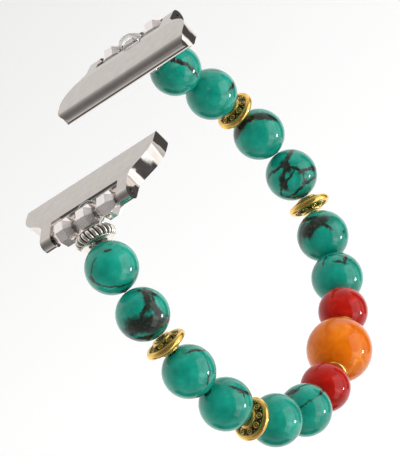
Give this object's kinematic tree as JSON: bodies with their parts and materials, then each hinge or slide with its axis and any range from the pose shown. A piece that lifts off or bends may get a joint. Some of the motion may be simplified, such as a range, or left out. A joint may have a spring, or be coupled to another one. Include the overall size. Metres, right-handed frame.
{
  "type": "bead watch band",
  "caption": "Stretch watch band of turquoise, red and amber beads with gold spacers, silver beaded spring bars and metal slide-in case adapters.",
  "frame": {"origin": "middle of the near slide, the flat tongue that enters one slot of a watch case", "axes": "+X along the slides, across the band; +Y from the near slide to the far slide; +Z away from the wrist, out of the watch's face"},
  "size_m": [0.0256, 0.071, 0.0562],
  "materials": {
    "turquoise": "polished",
    "red_glass": "gloss",
    "amber_resin": "gloss",
    "gold_plated_brass": "polished",
    "silver_plate": "polished",
    "polished_steel": "polished",
    "bright_steel": "satin",
    "clear_elastic": "satin"
  },
  "bodies": {
    "near_adapter": {"near_adapter": "polished_steel", "near_bar_tube": "bright_steel", "near_bar_spring": "bright_steel", "near_lock_spring": "bright_steel"},
    "near_rope_rondelle": {"near_rope_rondelle": "silver_plate", "near_crimp_tube": "bright_steel", "elastic_cord": "clear_elastic"},
    "turquoise_bead_01": {"turquoise_bead_01": "turquoise"},
    "turquoise_bead_02": {"turquoise_bead_02": "turquoise"},
    "gold_saucer_1": {"gold_saucer_1": "gold_plated_brass"},
    "turquoise_bead_03": {"turquoise_bead_03": "turquoise"},
    "turquoise_bead_04": {"turquoise_bead_04": "turquoise"},
    "gold_saucer_2": {"gold_saucer_2": "gold_plated_brass"},
    "turquoise_bead_05": {"turquoise_bead_05": "turquoise"},
    "turquoise_bead_06": {"turquoise_bead_06": "turquoise"},
    "red_bead_1": {"red_bead_1": "red_glass"},
    "gold_ring_1": {"gold_ring_1": "gold_plated_brass"},
    "amber_bead": {"amber_bead": "amber_resin"},
    "gold_ring_2": {"gold_ring_2": "gold_plated_brass"},
    "red_bead_2": {"red_bead_2": "red_glass"},
    "turquoise_bead_07": {"turquoise_bead_07": "turquoise"},
    "turquoise_bead_08": {"turquoise_bead_08": "turquoise"},
    "gold_saucer_3": {"gold_saucer_3": "gold_plated_brass"},
    "turquoise_bead_09": {"turquoise_bead_09": "turquoise"},
    "turquoise_bead_10": {"turquoise_bead_10": "turquoise"},
    "gold_saucer_4": {"gold_saucer_4": "gold_plated_brass"},
    "turquoise_bead_11": {"turquoise_bead_11": "turquoise"},
    "turquoise_bead_12": {"turquoise_bead_12": "turquoise"},
    "far_rope_rondelle": {"far_rope_rondelle": "silver_plate", "far_crimp_tube": "bright_steel"},
    "far_adapter": {"far_adapter": "polished_steel", "far_bar_tube": "bright_steel", "far_bar_spring": "bright_steel", "far_lock_spring": "bright_steel"},
    "near_bar_bead_1": {"near_bar_bead_1": "silver_plate"},
    "near_bar_bead_2": {"near_bar_bead_2": "silver_plate"},
    "near_bar_bead_3": {"near_bar_bead_3": "silver_plate"},
    "near_bar_tip_left": {"near_bar_tip_left": "bright_steel"},
    "near_bar_tip_right": {"near_bar_tip_right": "bright_steel"},
    "near_lock_button": {"near_lock_button": "polished_steel"},
    "far_bar_bead_1": {"far_bar_bead_1": "silver_plate"},
    "far_bar_bead_2": {"far_bar_bead_2": "silver_plate"},
    "far_bar_bead_3": {"far_bar_bead_3": "silver_plate"},
    "far_bar_tip_left": {"far_bar_tip_left": "bright_steel"},
    "far_bar_tip_right": {"far_bar_tip_right": "bright_steel"},
    "far_lock_button": {"far_lock_button": "polished_steel"}
  },
  "joints": [
    {"name": "near_bar_pivot", "type": "hinge", "parent": "near_adapter", "child": "near_rope_rondelle", "pos_m": [0, -0.00725, -0.0003], "axis": [1, 0, 0], "range_deg": [-60, 30], "deforming": ["elastic_cord"]},
    {"name": "flex_01_near_rope_rondelle_turquoise_bead_01", "type": "hinge", "parent": "near_rope_rondelle", "child": "turquoise_bead_01", "pos_m": [0.00043, -0.0109, -0.00285], "axis": [1, 0, 0], "range_deg": [-14.5, 2], "deforming": ["elastic_cord"]},
    {"name": "flex_02_turquoise_bead_01_turquoise_bead_02", "type": "hinge", "parent": "turquoise_bead_01", "child": "turquoise_bead_02", "pos_m": [0.00136, -0.01621, -0.00908], "axis": [1, 0, 0], "range_deg": [-21, 2], "deforming": ["elastic_cord"]},
    {"name": "flex_03_turquoise_bead_02_gold_saucer_1", "type": "hinge", "parent": "turquoise_bead_02", "child": "gold_saucer_1", "pos_m": [0.00172, -0.01896, -0.01684], "axis": [1, 0, 0], "range_deg": [-7.5, 2], "deforming": ["elastic_cord"]},
    {"name": "flex_04_gold_saucer_1_turquoise_bead_03", "type": "hinge", "parent": "gold_saucer_1", "child": "turquoise_bead_03", "pos_m": [0.00165, -0.01953, -0.01952], "axis": [1, 0, 0], "range_deg": [-9, 2], "deforming": ["elastic_cord"]},
    {"name": "flex_05_turquoise_bead_03_turquoise_bead_04", "type": "hinge", "parent": "turquoise_bead_03", "child": "turquoise_bead_04", "pos_m": [0.00122, -0.01996, -0.02773], "axis": [1, 0, 0], "range_deg": [-18, 2], "deforming": ["elastic_cord"]},
    {"name": "flex_06_turquoise_bead_04_gold_saucer_2", "type": "hinge", "parent": "turquoise_bead_04", "child": "gold_saucer_2", "pos_m": [0.00129, -0.01783, -0.03569], "axis": [1, 0, 0], "range_deg": [-14.5, 2], "deforming": ["elastic_cord"]},
    {"name": "flex_07_gold_saucer_2_turquoise_bead_05", "type": "hinge", "parent": "gold_saucer_2", "child": "turquoise_bead_05", "pos_m": [0.00143, -0.01648, -0.03807], "axis": [1, 0, 0], "range_deg": [-14.5, 2], "deforming": ["elastic_cord"]},
    {"name": "flex_08_turquoise_bead_05_turquoise_bead_06", "type": "hinge", "parent": "turquoise_bead_05", "child": "turquoise_bead_06", "pos_m": [0.00229, -0.01079, -0.04397], "axis": [1, 0, 0], "range_deg": [-22, 2], "deforming": ["elastic_cord"]},
    {"name": "flex_09_turquoise_bead_06_red_bead_1", "type": "hinge", "parent": "turquoise_bead_06", "child": "red_bead_1", "pos_m": [0.00258, -0.00326, -0.04732], "axis": [1, 0, 0], "range_deg": [-12, 2], "deforming": ["elastic_cord"]},
    {"name": "flex_10_red_bead_1_gold_ring_1", "type": "hinge", "parent": "red_bead_1", "child": "gold_ring_1", "pos_m": [0.0032, 0.00446, -0.04896], "axis": [1, 0, 0], "range_deg": [-7, 2], "deforming": ["elastic_cord"]},
    {"name": "flex_11_gold_ring_1_amber_bead", "type": "hinge", "parent": "gold_ring_1", "child": "amber_bead", "pos_m": [0.00322, 0.00489, -0.049], "axis": [1, 0, 0], "range_deg": [-5.5, 2], "deforming": ["elastic_cord"]},
    {"name": "flex_12_amber_bead_gold_ring_2", "type": "hinge", "parent": "amber_bead", "child": "gold_ring_2", "pos_m": [0.0034, 0.01528, -0.04891], "axis": [1, 0, 0], "range_deg": [-1.5, 2], "deforming": ["elastic_cord"]},
    {"name": "flex_13_gold_ring_2_red_bead_2", "type": "hinge", "parent": "gold_ring_2", "child": "red_bead_2", "pos_m": [0.00337, 0.01571, -0.04889], "axis": [1, 0, 0], "range_deg": [-1.5, 2], "deforming": ["elastic_cord"]},
    {"name": "flex_14_red_bead_2_turquoise_bead_07", "type": "hinge", "parent": "red_bead_2", "child": "turquoise_bead_07", "pos_m": [0.002, 0.0235, -0.04842], "axis": [1, 0, 0], "range_deg": [-14, 2], "deforming": ["elastic_cord"]},
    {"name": "flex_15_turquoise_bead_07_turquoise_bead_08", "type": "hinge", "parent": "turquoise_bead_07", "child": "turquoise_bead_08", "pos_m": [0.00085, 0.03128, -0.04596], "axis": [1, 0, 0], "range_deg": [-23.5, 2], "deforming": ["elastic_cord"]},
    {"name": "flex_16_turquoise_bead_08_gold_saucer_3", "type": "hinge", "parent": "turquoise_bead_08", "child": "gold_saucer_3", "pos_m": [0.00049, 0.03749, -0.04056], "axis": [1, 0, 0], "range_deg": [-11, 2], "deforming": ["elastic_cord"]},
    {"name": "flex_17_gold_saucer_3_turquoise_bead_09", "type": "hinge", "parent": "gold_saucer_3", "child": "turquoise_bead_09", "pos_m": [0.00052, 0.03918, -0.0384], "axis": [1, 0, 0], "range_deg": [-10.5, 2], "deforming": ["elastic_cord"]},
    {"name": "flex_18_turquoise_bead_09_turquoise_bead_10", "type": "hinge", "parent": "turquoise_bead_09", "child": "turquoise_bead_10", "pos_m": [0.0003, 0.04298, -0.0311], "axis": [1, 0, 0], "range_deg": [-22.5, 2], "deforming": ["elastic_cord"]},
    {"name": "flex_19_turquoise_bead_10_gold_saucer_4", "type": "hinge", "parent": "turquoise_bead_10", "child": "gold_saucer_4", "pos_m": [-0.00013, 0.0437, -0.0229], "axis": [1, 0, 0], "range_deg": [-14.5, 2], "deforming": ["elastic_cord"]},
    {"name": "flex_20_gold_saucer_4_turquoise_bead_11", "type": "hinge", "parent": "gold_saucer_4", "child": "turquoise_bead_11", "pos_m": [-0.00011, 0.04325, -0.0202], "axis": [1, 0, 0], "range_deg": [-9.5, 2], "deforming": ["elastic_cord"]},
    {"name": "flex_21_turquoise_bead_11_turquoise_bead_12", "type": "hinge", "parent": "turquoise_bead_11", "child": "turquoise_bead_12", "pos_m": [0.00011, 0.04057, -0.01241], "axis": [1, 0, 0], "range_deg": [-2, 2], "deforming": ["elastic_cord"]},
    {"name": "flex_22_turquoise_bead_12_far_rope_rondelle", "type": "hinge", "parent": "turquoise_bead_12", "child": "far_rope_rondelle", "pos_m": [0.00004, 0.03802, -0.00457], "axis": [1, 0, 0], "range_deg": [-2, 2], "deforming": ["elastic_cord"]},
    {"name": "far_bar_pivot", "type": "hinge", "parent": "far_rope_rondelle", "child": "far_adapter", "pos_m": [0, 0.03671, -0.0003], "axis": [1, 0, 0], "range_deg": [-60, 30], "deforming": ["elastic_cord"]},
    {"name": "near_bar_bead_1_spin", "type": "hinge", "parent": "near_adapter", "child": "near_bar_bead_1", "pos_m": [0, -0.00725, -0.0003], "axis": [1, 0, 0], "continuous": true},
    {"name": "near_bar_bead_2_spin", "type": "hinge", "parent": "near_adapter", "child": "near_bar_bead_2", "pos_m": [0, -0.00725, -0.0003], "axis": [1, 0, 0], "continuous": true},
    {"name": "near_bar_bead_3_spin", "type": "hinge", "parent": "near_adapter", "child": "near_bar_bead_3", "pos_m": [0, -0.00725, -0.0003], "axis": [1, 0, 0], "continuous": true},
    {"name": "near_bar_tip_left_slide", "type": "slide", "parent": "near_adapter", "child": "near_bar_tip_left", "axis": [1, 0, 0], "range_m": [0, 0.0017], "stiffness_N_per_m": 400, "springref_m": -0.002, "deforming": ["near_bar_spring"]},
    {"name": "near_bar_tip_right_slide", "type": "slide", "parent": "near_adapter", "child": "near_bar_tip_right", "axis": [-1, 0, 0], "range_m": [0, 0.0017], "stiffness_N_per_m": 400, "springref_m": -0.002, "deforming": ["near_bar_spring"]},
    {"name": "near_lock_button_press", "type": "slide", "parent": "near_adapter", "child": "near_lock_button", "axis": [0, 0, 1], "range_m": [0, 0.0006], "stiffness_N_per_m": 200, "springref_m": -0.001, "deforming": ["near_lock_spring"]},
    {"name": "far_bar_bead_1_spin", "type": "hinge", "parent": "far_adapter", "child": "far_bar_bead_1", "pos_m": [0, 0.03671, -0.0003], "axis": [1, 0, 0], "continuous": true},
    {"name": "far_bar_bead_2_spin", "type": "hinge", "parent": "far_adapter", "child": "far_bar_bead_2", "pos_m": [0, 0.03671, -0.0003], "axis": [1, 0, 0], "continuous": true},
    {"name": "far_bar_bead_3_spin", "type": "hinge", "parent": "far_adapter", "child": "far_bar_bead_3", "pos_m": [0, 0.03671, -0.0003], "axis": [1, 0, 0], "continuous": true},
    {"name": "far_bar_tip_left_slide", "type": "slide", "parent": "far_adapter", "child": "far_bar_tip_left", "axis": [-1, 0, 0], "range_m": [0, 0.0017], "stiffness_N_per_m": 400, "springref_m": -0.002, "deforming": ["far_bar_spring"]},
    {"name": "far_bar_tip_right_slide", "type": "slide", "parent": "far_adapter", "child": "far_bar_tip_right", "axis": [1, 0, 0], "range_m": [0, 0.0017], "stiffness_N_per_m": 400, "springref_m": -0.002, "deforming": ["far_bar_spring"]},
    {"name": "far_lock_button_press", "type": "slide", "parent": "far_adapter", "child": "far_lock_button", "axis": [0, 0, 1], "range_m": [0, 0.0006], "stiffness_N_per_m": 200, "springref_m": -0.001, "deforming": ["far_lock_spring"]}
  ]
}
